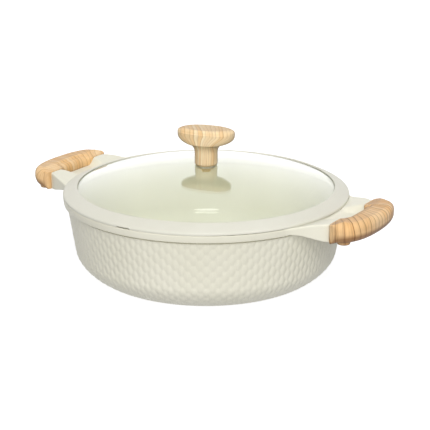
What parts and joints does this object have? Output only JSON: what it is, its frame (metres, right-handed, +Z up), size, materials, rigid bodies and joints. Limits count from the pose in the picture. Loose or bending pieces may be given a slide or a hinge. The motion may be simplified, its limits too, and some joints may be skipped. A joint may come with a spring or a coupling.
{
  "type": "low two-handled casserole with glass lid",
  "caption": "Low round casserole with a woven-relief wall, wood-effect side grips and knob, and a domed glass lid in a silicone ring.",
  "frame": {"origin": "centre of the base, on the surface that the pan stands on", "axes": "+Z up through the knob, +X out through the right-hand grip, +Y away from the front at right angles to the grips"},
  "size_m": [0.393, 0.29, 0.15],
  "materials": {
    "cream_coating": "satin cream ceramic coating over die-cast aluminium",
    "stainless": "turned stainless steel",
    "wood_effect": "satin moulding with a printed light wood grain",
    "brass": "machined brass",
    "steel_screw": "plain stainless steel",
    "tempered_glass": "clear tempered glass",
    "cream_silicone": "satin cream silicone rubber",
    "dark_silicone": "matt dark silicone rubber"
  },
  "bodies": {
    "pan": {"pan_body": "cream_coating", "induction_plate": "stainless", "right_grip": "wood_effect", "left_grip": "wood_effect", "right_grip_inserts": "brass", "left_grip_inserts": "brass", "right_grip_screws": "steel_screw", "left_grip_screws": "steel_screw", "right_grip_washers": "steel_screw", "left_grip_washers": "steel_screw"},
    "lid": {"lid_glass": "tempered_glass", "silicone_rim": "cream_silicone", "knob": "wood_effect", "knob_insert": "brass", "knob_gasket": "dark_silicone", "screw_gasket": "cream_silicone", "knob_washer": "steel_screw", "knob_screw": "steel_screw"}
  },
  "joints": [
    {"name": "lid_lift", "type": "slide", "parent": "pan", "child": "lid", "axis": [0, 0, 1], "range_m": [0, 0.15]}
  ]
}
